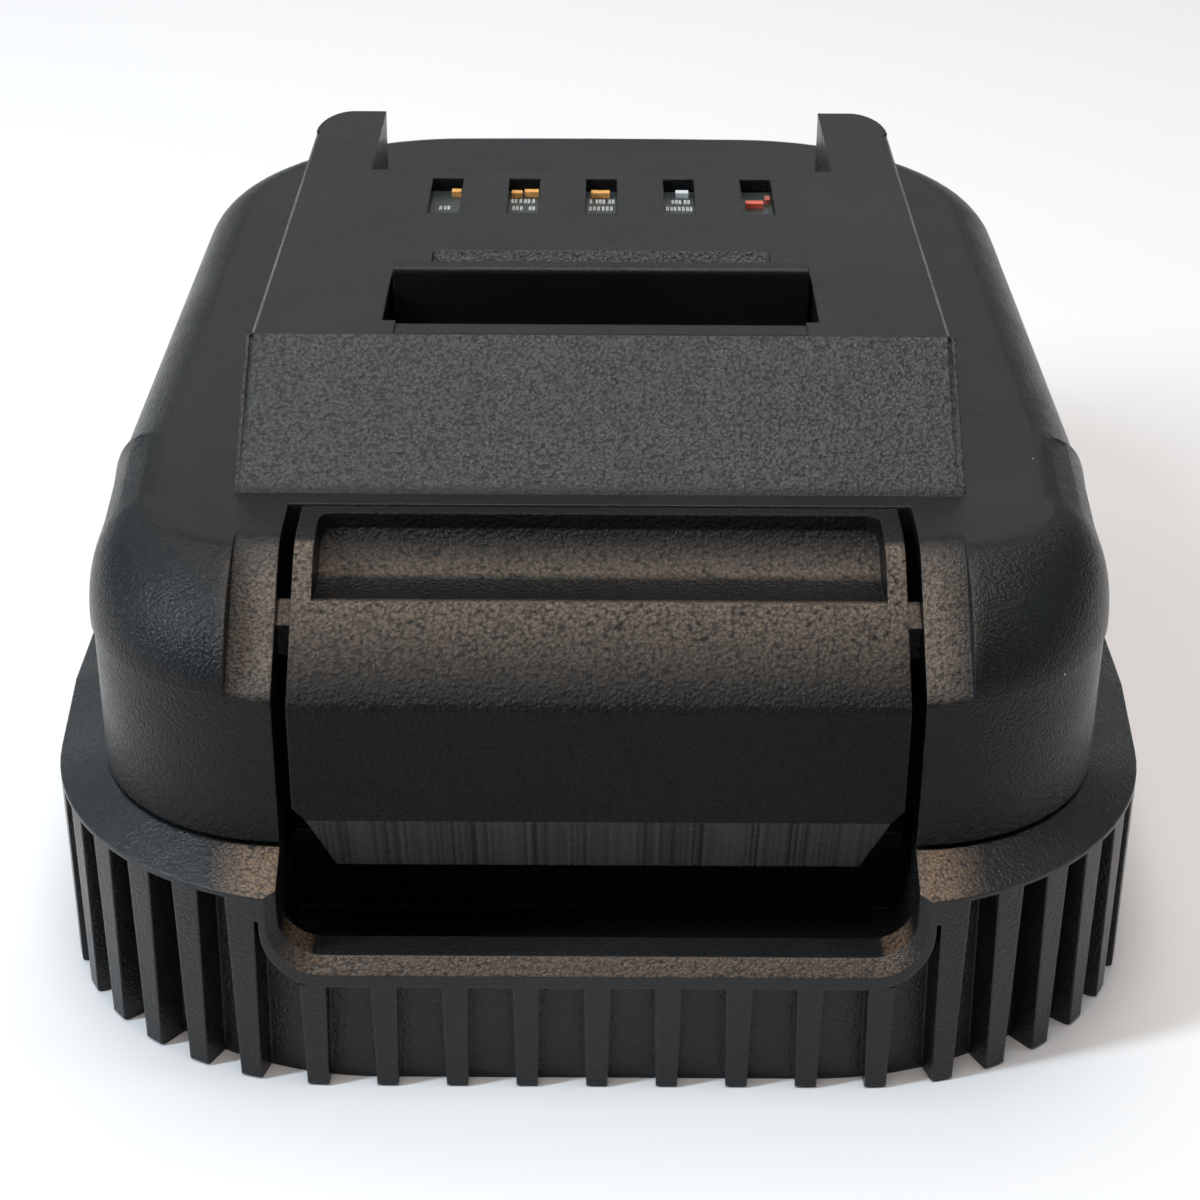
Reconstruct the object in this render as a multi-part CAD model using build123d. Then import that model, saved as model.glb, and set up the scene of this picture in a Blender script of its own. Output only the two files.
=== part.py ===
from build123d import *
from math import cos, sin, pi, radians, degrees, sqrt, atan2
import os

# Slide-on battery adapter for cordless tools, in millimetres.
# The release button faces -Y, the tool's contacts come in from +Y, and +Z is up.
# The origin is the centre of the box around the part, on the surface it stands on.

os.makedirs("parts", exist_ok=True)

# Whole adapter
overall_length = 110.0
overall_width = 82.4
rail_top_z = 44.6
deck_z = 36.8
part_line_z = 17.45
part_gap = 0.4

# Rim and ribbed skirt of the base
rim_step = 4.2
rim_step_front = 4.35
rim_step_rear = 2.8
rim_taper = 2.4
rim_front_radius = 22.0
rim_rear_radius = 26.5
rim_edge_z = 15.8
rim_band = 0.35
skirt_front_radius = 24.4
skirt_rear_radius = 28.0
skirt_wall = 2.2
rib_depth = 1.1
rib_top_width = 2.1
rib_low_width = 1.5
rib_pitch = 4.95
corner_rib_pitch = 4.3
corner_turns = (-85.0, -10.0)
rib_nose_radius = 0.6
rib_root = 3.0

# Walls and corner radii of the upper housing
housing_wall = 2.4
roof = 2.2
wall_taper = 1.4
front_corner_radius = 14.4
rear_corner_radius = 23.6
rear_arch = 1.2
shoulder_radius = 5.4

# Front head with its two domes, beside the button
head_lip = 0.25
head_side_lip = 0.1
head_seam_lip = 0.2
dome_bottom_z = 29.4
dome_front_run = 9.5
dome_front_power = 1.7
dome_side_power = 2.6
dome_levels = 6
seam_from_front = 30.4
seam_sweep = 3.2
crease_z = 28.9
crest_run = 9.2
crest_bend_radius = 5.0
crease_radius = 1.2
pillar_half_width = 25.2

# Rail block that slides into the tool
rail_width = 51.8
rail_neck_width = 45.2
rail_flange = 3.7
rail_edge = 0.3
ramp_top_from_front = 31.6
ramp_run = 10.8
ramp_side_lip = 0.3
ramp_groove = 0.25
ramp_groove_depth = 0.3
rail_length = 37.8
prong_length = 16.8
prong_width = 5.85
prong_corner_x = 3.0
prong_corner_y = 6.0

# Windows and blade slots over the contacts
contact_count = 5
contact_pitch = 6.6
window_width = 2.65
window_length = 8.9
window_from_step = 11.1
window_roof = 1.0
slot_width = 1.9
slot_height = 4.0
slot_above_deck = 0.5

# Latch and its opening in the rail block
latch_width = 32.1
latch_rise = 1.6
latch_from_ramp = 9.6
latch_wide_length = 3.2
latch_nose_width = 26.3
latch_length = 5.6
latch_lead = 1.5
latch_lead_drop = 2.6
latch_lip_radius = 0.45
latch_clearance = 0.3
latch_opening_margin = 2.8
latch_opening_behind = 2.7
latch_opening_slope = 1.9
latch_relief = 0.25
latch_wall = 1.8
latch_travel = 5.0

# Release button
button_width = 42.1
button_gap = 1.05
button_proud = 0.4
button_length = 14.75
button_rear_gap = 0.3
button_wall = 2.0
button_ceiling = 5.8
apron_bottom_z = 19.9
apron_hem_radius = 0.4
bevel_bottom_z = 14.7
bevel_run = 2.4
bevel_side_run = 1.7
bevel_side_start = 0.9
scoop_length = 39.4
scoop_rear_margin = 1.1
scoop_from_crest = 3.35
scoop_rear_drop = 1.2
scoop_sag = 1.45
scoop_corner_radius = 0.9
stub_from_crest = 1.65
stub_length = 2.0
stub_height = 3.4
stub_slope = 1.0
stub_below_crest = 2.2

# Notch in the front of the base, and the well behind it
notch_lip_z = 10.7
notch_radius = 3.0
notch_mouth_radius = 4.0
notch_chamfer = 1.0
notch_side_chamfer = 1.5
notch_border = 1.25
notch_border_below = 1.0
notch_shoulder = 0.8
notch_shoulder_z = 13.8
well_spare = 3.2
well_length = 13.0

# Underside channel for the battery that the adapter carries
channel_width = 58.0
channel_top_z = 11.2
plate = 2.0
channel_from_front = 17.0
channel_wall = 2.0
battery_rail_reach = 2.8
battery_rail_height = 2.6
battery_rail_from_channel = 26.0
battery_rail_rear_gap = 6.0
catch_pocket_from_channel = 56.0
catch_pocket_width = 18.0
catch_pocket_length = 5.0
catch_pocket_depth = 1.3
web_thickness = 1.6
web_from_channel = (26.0, 46.0)

# Slider arm and its springs
arm_top_z = 26.5
arm_thickness = 2.5
arm_width = 26.0
arm_from_front = 8.5
arm_opening = 9.0
slider_boss_x = 10.0
slider_boss_from_front = 13.5
slider_boss_radius = 2.6
stop_width = 4.0
stop_length = 3.0
stop_from_ramp = 5.6
spring_x = 9.5
spring_from_ramp = 0.1
spring_radius = 3.1
spring_wire = 0.7
spring_turns = 5
spring_seat = 0.15
post_radius = 1.9
post_height = 2.6
arm_post_height = 2.0

# Screws
screw_side_inset = 8.8
screw_end_inset = 22.0
screw_radius = 1.4
screw_head_radius = 2.6
screw_head = 1.6
screw_length = 14.0
screw_bite = 6.0
screw_pilot = 11.0
boss_radius = 3.1
small_screw_radius = 1.0
small_head_radius = 1.8
small_head = 1.2
small_boss_radius = 2.0
slider_screw_length = 5.5
carrier_screw_length = 5.6
holder_screw_length = 11.6
cross_slot = 0.6
cross_reach = 0.6
screw_slack = 0.05
fit_gap = 0.1
hole_gap = 0.3

# Board, contacts and blades
board_thickness = 1.6
board_side_gap = 0.7
board_length = 16.6
board_shoulder = 4.4
board_neck = 4.8
boss_inset = 2.0
boss_from_board_front = 2.4
carrier_from_board_front = 7.2
carrier_side_inset = 2.1
carrier_bottom_z = 36.0
carrier_ear = 2.0
clip_leaf = 0.5
clip_length = 7.8
clip_outer = 3.4
clip_mouth = 0.85
clip_pinch = 0.35
clip_waist = 1.5
clip_shoulder = 1.4
blade_thickness = 1.0
signal_blade_thickness = 0.8
blade_height = 6.0
blade_length = 20.4
blade_low_z = 3.6
blade_from_channel = 0.6
holder_width = 40.0
holder_length = 7.0
power_blade_x = 14.5
signal_blade_x = 4.6
blade_tail = 3.0
blade_tail_z = 16.5
signal_blade_short = 3.0
holder_low_z = 2.4
holder_boss_radius = 2.2
holder_boss_height = 3.0
wire_low = 2.0
power_wire_radius = 1.1
signal_wire_radius = 0.7
power_wire_x = 11.6
signal_wire_x = 4.6
switch_x = 8.0
switch_size = (3.2, 5.0, 1.1)
sense_chip_size = (4.8, 3.9, 1.5)
small_part_width = 0.8
small_part_height = 0.45

# Small parts seen through each window: shift along X, distance from the step, length
window_chips = (
    ((0.75, 3.5, 0.8),),
    ((-0.65, 3.8, 0.9), (0.6, 3.5, 1.2)),
    ((-0.1, 3.7, 1.6),),
    ((0.3, 3.6, 1.1),),
    ((-0.2, 6.2, 1.5),),
)

# Places along the part, worked out from the sizes above
front_y = -overall_length / 2
rear_y = overall_length / 2
wall_front_y = front_y + rim_step_front
head_front_y = wall_front_y - head_lip
button_front_y = wall_front_y - button_proud
housing_rear_y = rear_y - rim_step_rear
crest_y = button_front_y + crest_run
seam_y = front_y + seam_from_front
ramp_top_y = front_y + ramp_top_from_front
ramp_foot_y = ramp_top_y - ramp_run
step_y = ramp_top_y + rail_length
prong_end_y = step_y + prong_length
latch_face_y = ramp_top_y + latch_from_ramp
latch_rear_y = latch_face_y + latch_length
latch_opening_front_y = ramp_top_y + latch_opening_margin
latch_opening_rear_y = latch_rear_y + latch_opening_behind
window_front_y = step_y - window_from_step
button_rear_y = button_front_y + button_length
bay_rear_y = button_rear_y + button_rear_gap
scoop_rear_y = button_rear_y - scoop_rear_margin
scoop_front_y = crest_y - scoop_from_crest
arm_front_y = front_y + arm_from_front
slider_boss_y = front_y + slider_boss_from_front
stop_rear_y = ramp_top_y - stop_from_ramp
spring_y = ramp_top_y - spring_from_ramp
well_rear_y = front_y + well_length
channel_front_y = front_y + channel_from_front
battery_rail_front_y = channel_front_y + battery_rail_from_channel
catch_pocket_y = channel_front_y + catch_pocket_from_channel
board_rear_y = step_y - roof - fit_gap * 2
board_front_y = board_rear_y - board_length
carrier_front_y = board_front_y + carrier_from_board_front
blade_front_y = channel_front_y + blade_from_channel
blade_tip_y = blade_front_y + blade_length
screw_y = overall_length / 2 - screw_end_inset

# Places across the part
half_width = overall_width / 2
wall_half = half_width - rim_step
bay_half = button_width / 2 + button_gap
channel_half = channel_width / 2
rail_half = rail_width / 2
neck_half = rail_neck_width / 2
rail_cavity_half = neck_half - roof
board_half = rail_cavity_half - board_side_gap
carrier_half = board_half - carrier_side_inset
screw_x = half_width - screw_side_inset
contact_x = [(i - (contact_count - 1) / 2) * contact_pitch for i in range(contact_count)]

# Heights
rim_under_z = rim_edge_z - rim_band
deck_under_z = deck_z - roof
rail_under_z = rail_top_z - roof
plate_top_z = channel_top_z + plate
board_top_z = rail_top_z - window_roof - fit_gap
board_under_z = board_top_z - board_thickness
slot_floor_z = deck_z + slot_above_deck
arm_under_z = arm_top_z - arm_thickness
skirt_of_button_z = arm_under_z - arm_post_height
well_floor_z = bevel_bottom_z - latch_travel - well_spare
notch_mouth_z = notch_lip_z - notch_chamfer
notch_border_z = notch_mouth_z - notch_border_below
screw_seat_z = plate_top_z - screw_bite
holder_seat_z = holder_low_z + small_head + fit_gap * 2

housing_screw_places = [(x, y) for x in (-screw_x, screw_x) for y in (-screw_y, screw_y)]
carrier_screw_places = [(x, board_front_y + boss_from_board_front)
                        for x in (boss_inset - board_half, board_half - boss_inset)]
slider_screw_places = [(x, slider_boss_y) for x in (-slider_boss_x, slider_boss_x)]
spring_places = [(x, spring_y) for x in (-spring_x, spring_x)]
holder_screw_x = (power_blade_x + signal_blade_x) / 2
holder_screw_places = [(x, blade_front_y + holder_length / 2) for x in (-holder_screw_x, holder_screw_x)]
blades = (
    ("blade_negative", -power_blade_x, blade_thickness),
    ("blade_signal_left", -signal_blade_x, signal_blade_thickness),
    ("blade_signal_right", signal_blade_x, signal_blade_thickness),
    ("blade_positive", power_blade_x, blade_thickness),
)


def block(x0, x1, y0, y1, z0, z1):
    """Box between two corners."""
    size = (x1 - x0, y1 - y0, z1 - z0)
    middle = ((x0 + x1) / 2, (y0 + y1) / 2, (z0 + z1) / 2)
    return Pos(*middle) * Box(*size)


def rods(places, z0, z1, radius):
    """Upright round bars at a list of places."""
    return [Pos(x, y, (z0 + z1) / 2) * Cylinder(radius, z1 - z0) for x, y in places]


def both_sides(shape):
    """A shape and its mirror image across the centre plane."""
    return [shape, mirror(shape, Plane.YZ)]


def plan_outline(half, front, rear, front_radius, rear_radius, taper, arch=0.0):
    """Rounded plan outline whose sides draw in towards the front, lying at z = 0."""
    corner = rear - arch
    if arch > 0:
        back = ThreePointArc((half, corner), (0, rear), (-half, corner))
    else:
        back = Line((half, corner), (-half, corner))
    edges = [
        Line((taper - half, front), (half - taper, front)),
        Line((half - taper, front), (half, seam_y)),
        Line((half, seam_y), (half, corner)),
        back,
        Line((-half, corner), (-half, seam_y)),
        Line((-half, seam_y), (taper - half, front)),
    ]
    face = make_face(edges)
    face = fillet(face.vertices().group_by(Axis.Y)[0], front_radius)
    return fillet(face.vertices().group_by(Axis.Y)[-1], rear_radius)


def housing_outline(inset):
    """Plan outline of the upper housing's wall, moved inwards."""
    return plan_outline(wall_half - inset, wall_front_y + inset, housing_rear_y - inset,
                        front_corner_radius - inset, rear_corner_radius - inset, wall_taper, rear_arch)


def rim_outline():
    return plan_outline(half_width, front_y, rear_y, rim_front_radius, rim_rear_radius, rim_taper)


def skirt_outline(inset):
    """Plan outline of the wall between the ribs, moved inwards."""
    depth = rib_depth + inset
    return plan_outline(half_width - depth, front_y + depth, rear_y - depth,
                        skirt_front_radius - inset, skirt_rear_radius - inset, rim_taper)


def side_profile(points, x0, x1):
    """Closed outline given as (y, z) points, drawn out from x0 to x1."""
    face = Plane.YZ * make_face(Polyline(*points, close=True))
    return extrude(Pos(x0, 0, 0) * face, x1 - x0, dir=(1, 0, 0))


def front_profile(points, y0, y1):
    """Closed outline given as (x, z) points, drawn out from y0 to y1."""
    wire = Polyline(*[(x, y0, z) for x, z in points], close=True)
    return extrude(make_face(wire), y1 - y0, dir=(0, 1, 0))


def crest_z(y):
    """Height of the crest slope that the button and the pillars share."""
    return deck_z - (crest_y - y) * (deck_z - crease_z) / crest_run


# Upper housing

def dome_inset(run, share, power):
    """How far a dome has drawn in at a share of its rise, along a rounded quarter."""
    return run * (1 - (1 - share ** power) ** (1 / power))


def domed_head():
    """Front head: plan outlines that shrink towards the deck, joined smoothly."""
    side_run = shoulder_radius + head_side_lip
    rise = deck_z - dome_bottom_z
    back = seam_y + seam_sweep + 2
    spread = (wall_taper - head_side_lip + head_seam_lip) / (seam_y - head_front_y)
    sections = []
    for level in range(dome_levels + 1):
        share = sin(level / dome_levels * pi / 2)
        front_in = dome_inset(dome_front_run, share, dome_front_power)
        side_in = dome_inset(side_run, share, dome_side_power)
        half = wall_half + head_seam_lip + spread * (back - seam_y) - side_in
        narrow = wall_half - wall_taper + head_side_lip - side_in
        front = head_front_y + front_in
        face = make_face(Polyline(
            (-narrow, front), (narrow, front), (half, back), (-half, back), close=True))
        radius = front_corner_radius - (front_in + side_in) / 2
        face = fillet(face.vertices().group_by(Axis.Y)[0], radius)
        sections.append(Pos(0, 0, dome_bottom_z + share * rise) * face)
    head = loft(sections)
    inner = wall_half - side_run - 0.3
    outer = wall_half + 1
    behind = make_face(Polyline(
        (-outer, seam_y + seam_sweep), (-inner, seam_y), (inner, seam_y), (outer, seam_y + seam_sweep),
        (outer, back + 1), (-outer, back + 1), close=True))
    return head - extrude(Pos(0, 0, dome_bottom_z - 1) * behind, rise + 2)


def above_crest():
    """What is cut away above the pillars' crest slope and in front of its rounded crease."""
    top = deck_z + 2
    low = crease_z - 3
    face_y = wall_front_y - 0.02
    face = make_face(Polyline(
        (crest_y + 4, deck_z), (crest_y, deck_z), (face_y, crest_z(face_y)), (face_y, low),
        (face_y - 3, low), (face_y - 3, top), (crest_y + 4, top), close=True))
    face = fillet(face.vertices().sort_by_distance((crest_y, deck_z, 0))[0], crest_bend_radius)
    face = fillet(face.vertices().sort_by_distance((face_y, crest_z(face_y), 0))[0], crease_radius)
    return extrude(Plane.YZ * face, pillar_half_width, both=True)


def rail_block():
    """Rail block with its lead-in ramp and the two prongs behind it."""
    base_z = deck_z - 1
    lip_y = ramp_top_y + ramp_side_lip
    corner_y = prong_end_y - prong_corner_y
    body = side_profile([
        (ramp_foot_y, deck_z), (ramp_top_y, rail_top_z), (step_y, rail_top_z), (step_y, base_z),
        (ramp_foot_y, base_z),
    ], -rail_half, rail_half)
    body += both_sides(side_profile([
        (ramp_foot_y, deck_z), (ramp_top_y, rail_top_z), (lip_y, rail_top_z), (lip_y, base_z),
        (ramp_foot_y, base_z),
    ], rail_half, rail_half + ramp_side_lip))
    inner = rail_half - prong_width
    prong = make_face([
        Line((inner, step_y - 1), (rail_half, step_y - 1)),
        Line((rail_half, step_y - 1), (rail_half, corner_y)),
        EllipticalCenterArc((rail_half - prong_corner_x, corner_y), prong_corner_x, prong_corner_y,
                            start_angle=0, arc_size=90),
        Line((rail_half - prong_corner_x, prong_end_y), (inner, prong_end_y)),
        Line((inner, prong_end_y), (inner, step_y - 1)),
    ])
    body += both_sides(extrude(Pos(0, 0, base_z) * prong, rail_top_z - base_z))
    # broken edges along the top of the rails
    edge = front_profile([
        (rail_half - rail_edge, rail_top_z), (rail_half, rail_top_z - rail_edge),
        (rail_half + 1, rail_top_z - rail_edge), (rail_half + 1, rail_top_z + 1),
        (rail_half - rail_edge, rail_top_z + 1),
    ], lip_y, corner_y)
    return body - both_sides(edge)


def rail_grooves():
    """Side grooves under the rail flange, where the tool's rails run."""
    return both_sides(block(neck_half, rail_half + 2, ramp_top_y + 4, prong_end_y + 2, deck_z,
                            rail_top_z - rail_flange))


def latch_opening():
    """Opening in the rail block: wide at the latch, narrow and ramped behind it."""
    wide = latch_width / 2 + latch_clearance
    narrow = latch_nose_width / 2 + latch_clearance
    neck_y = latch_face_y + latch_wide_length + latch_clearance
    slope_y = latch_opening_rear_y - latch_opening_slope
    low = rail_under_z - 3
    top = rail_top_z + 1
    wide_part = block(-wide, wide, latch_opening_front_y, neck_y, low, top)
    narrow_part = side_profile([
        (neck_y - 1, top), (latch_opening_rear_y + 1, top), (slope_y, rail_top_z - latch_opening_slope),
        (slope_y, low), (neck_y - 1, low),
    ], -narrow, narrow)
    relief = block(1 - wide, wide - 1, ramp_top_y + ramp_side_lip, latch_opening_front_y + 1,
                   rail_top_z - latch_relief, top)
    return [wide_part, narrow_part, relief]


def inner_space():
    """Hollow inside the upper housing, open to the base."""
    low_top = crease_z - roof
    space = extrude(Pos(0, 0, part_line_z - 2) * housing_outline(housing_wall),
                    low_top - part_line_z + 2)
    inset = shoulder_radius + 1
    high = plan_outline(wall_half - inset, crest_y + roof, housing_rear_y - inset,
                        front_corner_radius - roof, rear_corner_radius - inset, wall_taper, rear_arch)
    space += extrude(Pos(0, 0, low_top - 0.5) * high, deck_under_z - low_top + 0.5)
    space += side_profile([
        (ramp_foot_y + 4, deck_under_z - 1), (ramp_foot_y + 4, deck_under_z),
        (ramp_top_y + 1.2, rail_under_z), (step_y - roof, rail_under_z),
        (step_y - roof, deck_under_z - 1),
    ], -rail_cavity_half, rail_cavity_half)
    space += block(-rail_cavity_half, rail_cavity_half, board_front_y - 0.4, step_y - roof,
                   deck_under_z - 1, rail_top_z - window_roof)
    # side walls of the button bay, and ribs that guide the latch, stay solid
    keep = both_sides(block(bay_half, bay_half + button_wall, wall_front_y, bay_rear_y + button_wall,
                            part_line_z - 3, deck_z))
    guide_x = latch_width / 2 + latch_clearance
    keep += both_sides(block(guide_x, rail_cavity_half + 1, latch_face_y + 0.6,
                             latch_face_y + latch_wide_length - 0.8, deck_under_z - 2,
                             rail_under_z + 1))
    return space - keep


def guide_stubs():
    """Stubs on the pillars that keep the button straight in its bay."""
    rear = crest_y - stub_from_crest
    front = rear - stub_length
    top = crest_z(rear) - stub_below_crest
    return both_sides(side_profile([
        (front, top - stub_slope), (rear, top), (rear, top - stub_height), (front, top - stub_height),
    ], button_width / 2 + fit_gap, bay_half + 0.5))


def make_upper_housing():
    bottom = part_line_z + part_gap
    shell = extrude(Pos(0, 0, bottom) * housing_outline(0), deck_z - bottom)
    shell = fillet(shell.faces().sort_by(Axis.Z)[-1].edges(), shoulder_radius)
    shell -= block(-half_width, half_width, front_y, seam_y - 0.8, dome_bottom_z, deck_z + 1)
    shell += domed_head()
    shell += rail_block()
    shell -= above_crest()
    shell -= rail_grooves()
    shell -= inner_space()
    shell += rods(housing_screw_places, plate_top_z + fit_gap, crease_z, boss_radius)
    shell += rods(carrier_screw_places, carrier_bottom_z + carrier_ear + fit_gap, rail_top_z - 0.5,
                  small_boss_radius)
    shell -= block(-bay_half, bay_half, front_y - 1, bay_rear_y, part_line_z - 2, deck_z + 2)
    shell -= latch_opening()
    for x in contact_x:
        shell -= block(x - window_width / 2, x + window_width / 2, window_front_y,
                       window_front_y + window_length, rail_top_z - 3, rail_top_z + 1)
        shell -= block(x - slot_width / 2, x + slot_width / 2, step_y - roof - 1, step_y + 1,
                       slot_floor_z, slot_floor_z + slot_height)
    shell -= rods(housing_screw_places, plate_top_z, plate_top_z + screw_pilot, screw_radius)
    shell -= rods(carrier_screw_places, carrier_bottom_z + 1, rail_under_z, small_screw_radius)
    # fine grooves that frame the grained ramp
    shell -= both_sides(side_profile([
        (ramp_foot_y, deck_z - 0.02), (ramp_top_y, rail_top_z - ramp_groove_depth),
        (ramp_top_y, rail_top_z + 1), (ramp_foot_y, deck_z + 1),
    ], rail_half - ramp_groove, rail_half))
    return shell + guide_stubs()


# Base shell

def rib_stations():
    """Places and outward directions of the ribs, from the front centre round one side."""
    rim = rim_outline().wire()
    place = rim.param_at_point((0, front_y, 0))
    way = 1 if rim.position_at(place + 0.01).X > 0 else -1
    stations = []
    at = Vector(0, front_y, 0)
    while at.X >= 0:
        along = rim.tangent_at(place % 1) * way
        turn = degrees(atan2(-along.X, along.Y))
        stations.append((at.X, at.Y, turn))
        on_corner = at.Y < 0 and corner_turns[0] < turn < corner_turns[1]
        place += way * (corner_rib_pitch if on_corner else rib_pitch) / rim.length
        at = rim.position_at(place % 1)
    return stations


def front_taper(low, top, top_z, outer):
    """Wedge that narrows from a rib's top width to its lower width."""
    return side_profile([(-low, 0), (low, 0), (top, top_z), (-top, top_z)], -rib_root, outer)


def rib(top_z):
    """One upright rib pointing along +X past the rim: tapered, with a rounded lower nose."""
    outer = 0.3
    face = make_face(Polyline((-rib_root, 0), (outer, 0), (outer, top_z), (-rib_root, top_z), close=True))
    nose = face.vertices().sort_by_distance((outer, 0, 0))[0]
    face = fillet(nose, rib_nose_radius + outer)
    body = extrude(Plane.XZ * face, rib_top_width, both=True)
    low = rib_low_width / 2
    top = low + (rib_top_width - rib_low_width) / 2 * top_z / rim_under_z
    return body & front_taper(low, top, top_z, outer)


def make_ribs():
    """All the ribs, cut flush with the rim's outline."""
    ribs = []
    long_rib = rib(rim_under_z)
    short_rib = rib(notch_border_z + fit_gap)
    for x, y, turn in rib_stations():
        if y > 0 and x < channel_half + rib_top_width:
            continue
        under_notch = y < 0 and x < bay_half
        shape = short_rib if under_notch else long_rib
        ribs.append(Pos(x, y, 0) * Rot(0, 0, turn) * shape)
        if x > 0:
            ribs.append(Pos(-x, y, 0) * Rot(0, 0, 180 - turn) * shape)
    return (Part() + ribs) & extrude(rim_outline(), rim_under_z)


def notch_face(half, floor, radius, y):
    """Upright notch outline at one depth, with rounded lower corners."""
    top = part_line_z + 6
    wire = Polyline((-half, y, floor), (half, y, floor), (half, y, top), (-half, y, top), close=True)
    face = make_face(wire)
    return fillet(face.vertices().group_by(Axis.Z)[0], radius)


def notch_surround():
    """Flush border round the notch, with a shoulder that meets the next rib, cut to the rim's outline."""
    half = bay_half + notch_border
    wide = half + notch_shoulder
    y = front_y - 1
    face = make_face(Polyline(
        (-half, y, notch_border_z), (half, y, notch_border_z), (half, y, notch_shoulder_z),
        (wide, y, notch_shoulder_z), (wide, y, rim_edge_z), (-wide, y, rim_edge_z),
        (-wide, y, notch_shoulder_z), (-half, y, notch_shoulder_z), close=True))
    face = fillet(face.vertices().group_by(Axis.Z)[0], notch_radius + notch_border)
    return extrude(face, rib_root + 1, dir=(0, 1, 0)) & extrude(rim_outline(), rim_edge_z)


def make_base_shell():
    shell = extrude(skirt_outline(0), rim_under_z)
    shell += extrude(Pos(0, 0, rim_under_z) * rim_outline(), rim_band)
    shell += loft([Pos(0, 0, rim_edge_z) * rim_outline(), Pos(0, 0, part_line_z) * housing_outline(0)],
                  ruled=True)
    shell += notch_surround()
    shell += make_ribs()
    # tray above the plate, with pockets for the housing's screw bosses
    shell -= extrude(Pos(0, 0, plate_top_z) * housing_outline(housing_wall), part_line_z)
    shell -= rods(housing_screw_places, plate_top_z, part_line_z + 1, boss_radius + 0.2)
    # the underside is hollow between the skirt and the battery channel
    hollow = extrude(Pos(0, 0, -1) * skirt_outline(skirt_wall), channel_top_z + 1)
    keep = Part() + [
        block(-channel_half - channel_wall, channel_half + channel_wall,
              channel_front_y - channel_wall, rear_y, 0, channel_top_z),
        block(-bay_half - 2, bay_half + 2, front_y, well_rear_y + 2, well_floor_z - 2, channel_top_z),
    ]
    keep += rods(housing_screw_places, 0, channel_top_z, boss_radius + 0.6)
    for from_channel in web_from_channel:
        y = channel_front_y + from_channel
        keep += block(-half_width, half_width, y - web_thickness / 2, y + web_thickness / 2, 0,
                      channel_top_z)
    shell -= hollow - keep
    # channel for the battery's rails, open to the rear
    shell -= block(-channel_half, channel_half, channel_front_y, rear_y + 1, -1, channel_top_z)
    shell += both_sides(block(channel_half - battery_rail_reach, channel_half + 0.5, battery_rail_front_y,
                              rear_y - battery_rail_rear_gap, 0, battery_rail_height))
    shell -= block(-catch_pocket_width / 2, catch_pocket_width / 2, catch_pocket_y,
                   catch_pocket_y + catch_pocket_length, channel_top_z - 1,
                   channel_top_z + catch_pocket_depth)
    # well behind the notch, where the button's lower end goes when pressed
    shell -= block(-bay_half, bay_half, front_y + rib_depth + skirt_wall, well_rear_y, well_floor_z,
                   part_line_z + 1)
    inside = notch_face(bay_half, notch_lip_z, notch_radius, front_y + notch_chamfer)
    mouth = notch_face(bay_half + notch_side_chamfer, notch_mouth_z, notch_mouth_radius, front_y - 0.001)
    shell -= loft([inside, mouth], ruled=True)
    shell -= extrude(inside, rib_depth + skirt_wall + 2, dir=(0, 1, 0))
    shell += rods(spring_places, plate_top_z - 0.5, plate_top_z + post_height, post_radius)
    # screw holes with sunk heads
    shell -= rods(housing_screw_places, -1, screw_seat_z, screw_head_radius + hole_gap)
    shell -= rods(housing_screw_places, -1, plate_top_z + 1, screw_radius + hole_gap)
    # slots for the blade tails, and bosses for the holder's screws
    for name, x, thick in blades:
        slot = thick / 2 + 0.15
        shell -= block(x - slot, x + slot, blade_front_y - 0.2, blade_front_y + blade_tail + 0.2,
                       channel_top_z - 1, plate_top_z + 1)
    shell += rods(holder_screw_places, plate_top_z - 0.5, plate_top_z + holder_boss_height,
                  holder_boss_radius)
    shell -= rods(holder_screw_places, channel_top_z - 1, plate_top_z + holder_boss_height - 0.6,
                  small_screw_radius)
    return shell


# Release button and latch slider

def button_side_view():
    """Side view of the button: deck, crest slope, apron and bevelled lower end."""
    face = make_face(Polyline(
        (button_rear_y, deck_z), (crest_y, deck_z), (button_front_y, crease_z),
        (button_front_y, apron_bottom_z), (button_front_y + bevel_run, bevel_bottom_z),
        (button_front_y + bevel_run + button_wall, bevel_bottom_z),
        (button_front_y + button_wall, apron_bottom_z + 1),
        (button_front_y + button_wall, skirt_of_button_z), (button_rear_y, skirt_of_button_z),
        close=True))
    rounds = ((crest_y, deck_z, crest_bend_radius), (button_front_y, crease_z, crease_radius),
              (button_front_y, apron_bottom_z, apron_hem_radius))
    for y, z, radius in rounds:
        face = fillet(face.vertices().sort_by_distance((y, z, 0))[0], radius)
    return face


def finger_scoop():
    """Trough across the top of the button, round in side view."""
    rear = Vector(scoop_rear_y, deck_z - scoop_rear_drop)
    front = Vector(scoop_front_y, crest_z(scoop_front_y))
    along = (front - rear).normalized()
    middle = (rear + front) / 2 + Vector(-along.Y, along.X) * scoop_sag
    top_z = deck_z + 2
    face = make_face([
        ThreePointArc(rear, middle, front),
        Line(front, (scoop_front_y, top_z)),
        Line((scoop_front_y, top_z), (scoop_rear_y, top_z)),
        Line((scoop_rear_y, top_z), rear),
    ])
    scoop = extrude(Plane.YZ * face, scoop_length / 2, both=True)
    corners = scoop.edges().filter_by(Axis.Z).group_by(Axis.Y)[-1]
    return fillet(corners, scoop_corner_radius)


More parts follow.
